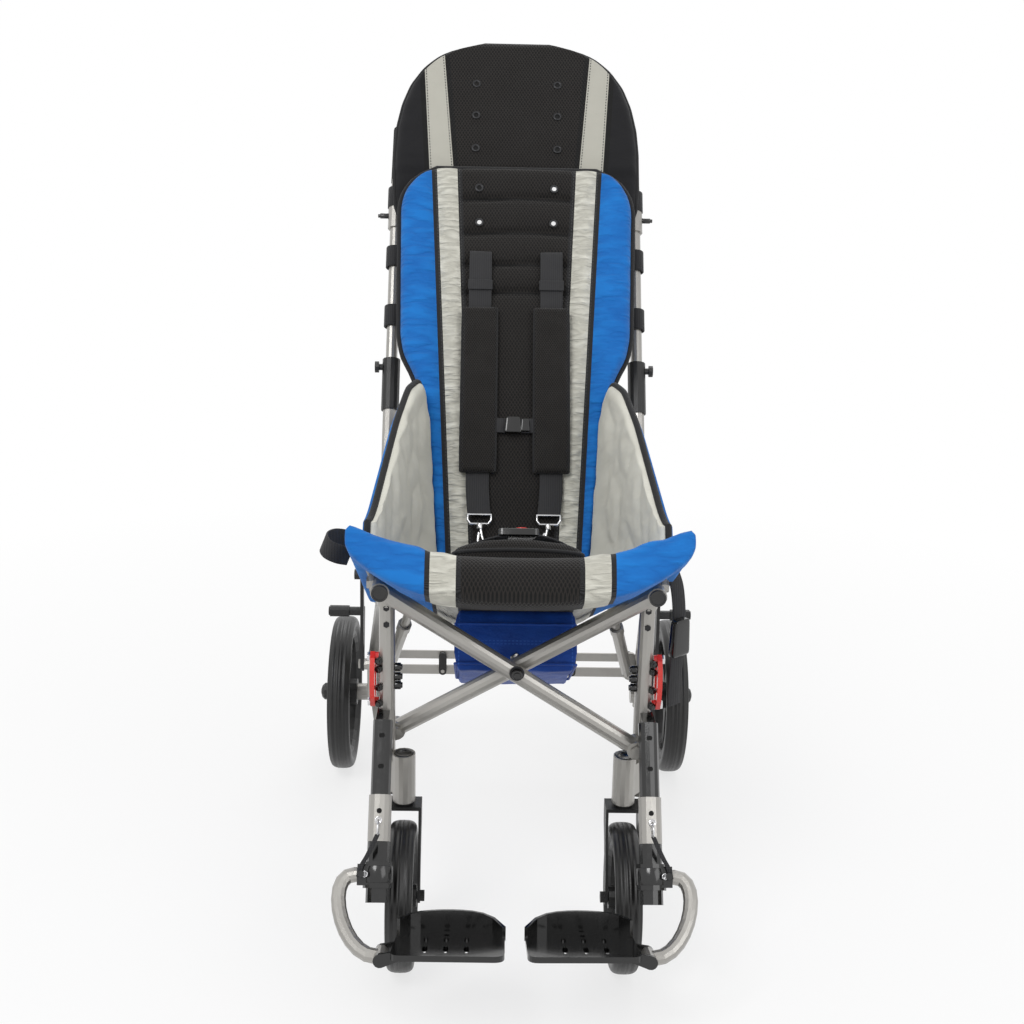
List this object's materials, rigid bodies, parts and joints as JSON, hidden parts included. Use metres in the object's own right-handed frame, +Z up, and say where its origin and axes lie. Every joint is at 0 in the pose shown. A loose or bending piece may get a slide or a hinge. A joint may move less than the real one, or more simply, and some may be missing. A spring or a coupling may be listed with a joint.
{
  "type": "tilt in space wheelchair",
  "caption": "Folding positioning wheelchair with a cross-brace frame, tilting seat, padded back and head section, hip guides, harness and heel-cup footplates.",
  "frame": {"origin": "middle of the footprint on the floor, under the chair", "axes": "+X to the right in the front view, +Y from the footrests to the rear wheels, +Z up"},
  "size_m": [0.624, 1.0446, 1.1829],
  "materials": {
    "frame_paint": "satin silver-grey paint on round tube",
    "black_gloss": "glossy black",
    "black_plastic": "satin black",
    "tyre": "smooth solid tyre",
    "grip_foam": "matt foam",
    "ring_red": "red powder coat",
    "fabric_blue": "woven royal blue",
    "fabric_navy": "coated navy blue",
    "fabric_grey": "light grey quilted",
    "mesh_black": "open knit spacer mesh",
    "webbing_black": "woven webbing"
  },
  "bodies": {
    "frame_left": {"front_post_left": "frame_paint", "side_frame_left": "frame_paint", "tie_down_left": "ring_red", "leg_receiver_left": "black_gloss"},
    "carrier_left": {"seat_carrier_left": "frame_paint"},
    "seat_left": {"seat_frame_left": "frame_paint", "back_sleeve_left": "black_plastic", "hip_guide_left": "fabric_grey", "seat_cushion": "fabric_blue", "back_pad": "mesh_black", "pommel_pad": "mesh_black", "under_seat_bag": "fabric_navy", "chest_strap": "webbing_black", "shoulder_strap_left": "webbing_black", "shoulder_strap_right": "webbing_black"},
    "back_left": {"back_cane_left": "frame_paint", "push_grip_left": "grip_foam", "head_pad": "mesh_black"},
    "strut_left": {"strut_body_left": "frame_paint"},
    "rod_left": {"strut_rod_left": "frame_paint"},
    "stretcher_top_left": {"stretcher_upper_left": "frame_paint"},
    "stretcher_low_left": {"stretcher_lower_left": "frame_paint"},
    "link_left": {"stretcher_link_left": "black_plastic"},
    "leg_left": {"leg_sleeve_left": "frame_paint", "leg_tube_left": "black_gloss", "foot_loop_left": "frame_paint"},
    "plate_left": {"footplate_left": "black_gloss"},
    "fork_left": {"caster_fork_left": "black_plastic"},
    "caster_left": {"caster_tyre_left": "tyre", "caster_rim_left": "black_plastic"},
    "wheel_left": {"rear_tyre_left": "tyre", "rear_rim_left": "black_plastic"},
    "lock_left": {"wheel_lock_left": "black_plastic"},
    "frame_right": {"front_post_right": "frame_paint", "side_frame_right": "frame_paint", "tie_down_right": "ring_red", "leg_receiver_right": "black_gloss"},
    "carrier_right": {"seat_carrier_right": "frame_paint"},
    "seat_right": {"seat_frame_right": "frame_paint", "back_sleeve_right": "black_plastic", "hip_guide_right": "fabric_grey"},
    "back_right": {"back_cane_right": "frame_paint", "push_grip_right": "grip_foam"},
    "strut_right": {"strut_body_right": "frame_paint"},
    "rod_right": {"strut_rod_right": "frame_paint"},
    "stretcher_top_right": {"stretcher_upper_right": "frame_paint"},
    "stretcher_low_right": {"stretcher_lower_right": "frame_paint"},
    "link_right": {"stretcher_link_right": "black_plastic"},
    "leg_right": {"leg_sleeve_right": "frame_paint", "leg_tube_right": "black_gloss", "foot_loop_right": "frame_paint"},
    "plate_right": {"footplate_right": "black_gloss"},
    "fork_right": {"caster_fork_right": "black_plastic"},
    "caster_right": {"caster_tyre_right": "tyre", "caster_rim_right": "black_plastic"},
    "wheel_right": {"rear_tyre_right": "tyre", "rear_rim_right": "black_plastic"},
    "lock_right": {"wheel_lock_right": "black_plastic"},
    "arm_front": {"brace_arm_front": "frame_paint"},
    "arm_rear": {"brace_arm_rear": "frame_paint"}
  },
  "joints": [
    {"name": "fold", "type": "slide", "parent": "frame_left", "child": "frame_right", "axis": [-1, 0, 0], "range_m": [0, 0.17], "deforming": ["seat_cushion", "back_pad", "head_pad", "pommel_pad", "under_seat_bag", "chest_strap", "shoulder_strap_left", "shoulder_strap_right"]},
    {"name": "lift_left", "type": "slide", "parent": "frame_left", "child": "carrier_left", "axis": [0, 0, 1], "range_m": [0, 0.146]},
    {"name": "lift_right", "type": "slide", "parent": "frame_right", "child": "carrier_right", "axis": [0, 0, 1], "range_m": [0, 0.146]},
    {"name": "tilt", "type": "hinge", "parent": "carrier_left", "child": "seat_left", "pos_m": [-0.19, -0.25234, 0.5], "axis": [1, 0, 0], "range_deg": [0, 25]},
    {"name": "tilt_right", "type": "hinge", "parent": "carrier_right", "child": "seat_right", "pos_m": [0.19, -0.25234, 0.5], "axis": [1, 0, 0], "range_deg": [0, 25.5]},
    {"name": "back_height", "type": "slide", "parent": "seat_left", "child": "back_left", "axis": [0, 0.5, 0.866], "range_m": [0, 0.06]},
    {"name": "back_height_right", "type": "slide", "parent": "seat_right", "child": "back_right", "axis": [0, 0.5, 0.866], "range_m": [0, 0.061]},
    {"name": "strut_swing_left", "type": "hinge", "parent": "carrier_left", "child": "strut_left", "pos_m": [-0.196, 0.21766, 0.186], "axis": [-0.9723, -0.2299, 0.0425], "range_deg": [0, 17.98]},
    {"name": "strut_slide_left", "type": "slide", "parent": "strut_left", "child": "rod_left", "axis": [0.1913, -0.678, 0.7098], "range_m": [0, 0.0951]},
    {"name": "strut_swing_right", "type": "hinge", "parent": "carrier_right", "child": "strut_right", "pos_m": [0.196, 0.21766, 0.186], "axis": [-0.9723, 0.2299, -0.0425], "range_deg": [0, 17.98]},
    {"name": "strut_slide_right", "type": "slide", "parent": "strut_right", "child": "rod_right", "axis": [-0.1913, -0.678, 0.7098], "range_m": [0, 0.0951]},
    {"name": "arm_rear_swing", "type": "hinge", "parent": "frame_left", "child": "arm_rear", "pos_m": [-0.154, -0.22834, 0.291], "axis": [0, -1, 0], "range_deg": [0, 34]},
    {"name": "arm_front_swing", "type": "hinge", "parent": "frame_right", "child": "arm_front", "pos_m": [0.154, -0.27934, 0.291], "axis": [0, 1, 0], "range_deg": [0, 34]},
    {"name": "stretcher_top_left_swing", "type": "hinge", "parent": "frame_left", "child": "stretcher_top_left", "pos_m": [-0.206, 0.27766, 0.187], "axis": [0, -1, 0], "range_deg": [0, 54.5]},
    {"name": "stretcher_low_left_swing", "type": "hinge", "parent": "frame_left", "child": "stretcher_low_left", "pos_m": [-0.206, 0.27766, 0.16], "axis": [0, -1, 0], "range_deg": [0, 54.5]},
    {"name": "link_left_swing", "type": "hinge", "parent": "stretcher_low_left", "child": "link_left", "pos_m": [-0.109, 0.27766, 0.16], "axis": [0, 1, 0], "range_deg": [0, 54.5]},
    {"name": "leg_length_left", "type": "slide", "parent": "frame_left", "child": "leg_left", "axis": [0, 0.5446, 0.8387], "range_m": [0, 0.038]},
    {"name": "plate_flip_left", "type": "hinge", "parent": "leg_left", "child": "plate_left", "pos_m": [-0.157, -0.47934, 0.119], "axis": [0, -0.9613, 0.2756], "range_deg": [0, 76.5]},
    {"name": "caster_swivel_left", "type": "hinge", "parent": "frame_left", "child": "fork_left", "pos_m": [-0.142, -0.27184, 0.211], "axis": [0, 0, 1], "continuous": true},
    {"name": "caster_spin_left", "type": "hinge", "parent": "fork_left", "child": "caster_left", "pos_m": [-0.142, -0.31234, 0.095], "axis": [1, 0, 0], "continuous": true},
    {"name": "rear_spin_left", "type": "hinge", "parent": "frame_left", "child": "wheel_left", "pos_m": [-0.272, 0.25966, 0.127], "axis": [1, 0, 0], "continuous": true},
    {"name": "lock_left", "type": "hinge", "parent": "frame_left", "child": "lock_left", "pos_m": [-0.228, 0.12766, 0.232], "axis": [-1, 0, 0], "range_deg": [0, 58]},
    {"name": "stretcher_top_right_swing", "type": "hinge", "parent": "frame_right", "child": "stretcher_top_right", "pos_m": [0.206, 0.27766, 0.187], "axis": [0, 1, 0], "range_deg": [0, 54.5]},
    {"name": "stretcher_low_right_swing", "type": "hinge", "parent": "frame_right", "child": "stretcher_low_right", "pos_m": [0.206, 0.27766, 0.16], "axis": [0, 1, 0], "range_deg": [0, 54.5]},
    {"name": "link_right_swing", "type": "hinge", "parent": "stretcher_low_right", "child": "link_right", "pos_m": [0.109, 0.27766, 0.16], "axis": [0, -1, 0], "range_deg": [0, 54.5]},
    {"name": "leg_length_right", "type": "slide", "parent": "frame_right", "child": "leg_right", "axis": [0, 0.5446, 0.8387], "range_m": [0, 0.038]},
    {"name": "plate_flip_right", "type": "hinge", "parent": "leg_right", "child": "plate_right", "pos_m": [0.157, -0.47934, 0.119], "axis": [0, 0.9613, -0.2756], "range_deg": [0, 76.5]},
    {"name": "caster_swivel_right", "type": "hinge", "parent": "frame_right", "child": "fork_right", "pos_m": [0.142, -0.27184, 0.211], "axis": [0, 0, 1], "continuous": true},
    {"name": "caster_spin_right", "type": "hinge", "parent": "fork_right", "child": "caster_right", "pos_m": [0.142, -0.31234, 0.095], "axis": [1, 0, 0], "continuous": true},
    {"name": "rear_spin_right", "type": "hinge", "parent": "frame_right", "child": "wheel_right", "pos_m": [0.272, 0.25966, 0.127], "axis": [1, 0, 0], "continuous": true},
    {"name": "lock_right", "type": "hinge", "parent": "frame_right", "child": "lock_right", "pos_m": [0.228, 0.12766, 0.232], "axis": [-1, 0, 0], "range_deg": [0, 58]}
  ],
  "couplings": [
    {"joint": "lift_left", "follows": "fold", "ratio": 0.85},
    {"joint": "lift_right", "follows": "fold", "ratio": 0.85},
    {"joint": "tilt_right", "follows": "tilt", "ratio": 1},
    {"joint": "back_height_right", "follows": "back_height", "ratio": 1},
    {"joint": "strut_swing_left", "follows": "tilt", "ratio": 0.69932},
    {"joint": "strut_slide_left", "follows": "tilt", "m_per_rad": 0.21571},
    {"joint": "strut_swing_right", "follows": "tilt", "ratio": 0.69932},
    {"joint": "strut_slide_right", "follows": "tilt", "m_per_rad": 0.21571},
    {"joint": "arm_rear_swing", "follows": "fold", "rad_per_m": 3.4547},
    {"joint": "arm_front_swing", "follows": "fold", "rad_per_m": 3.4547},
    {"joint": "stretcher_top_left_swing", "follows": "fold", "rad_per_m": 5.544},
    {"joint": "stretcher_low_left_swing", "follows": "fold", "rad_per_m": 5.544},
    {"joint": "link_left_swing", "follows": "fold", "rad_per_m": 5.544},
    {"joint": "plate_flip_left", "follows": "fold", "rad_per_m": 7.8026},
    {"joint": "stretcher_top_right_swing", "follows": "fold", "rad_per_m": 5.544},
    {"joint": "stretcher_low_right_swing", "follows": "fold", "rad_per_m": 5.544},
    {"joint": "link_right_swing", "follows": "fold", "rad_per_m": 5.544},
    {"joint": "plate_flip_right", "follows": "fold", "rad_per_m": 7.8026}
  ]
}
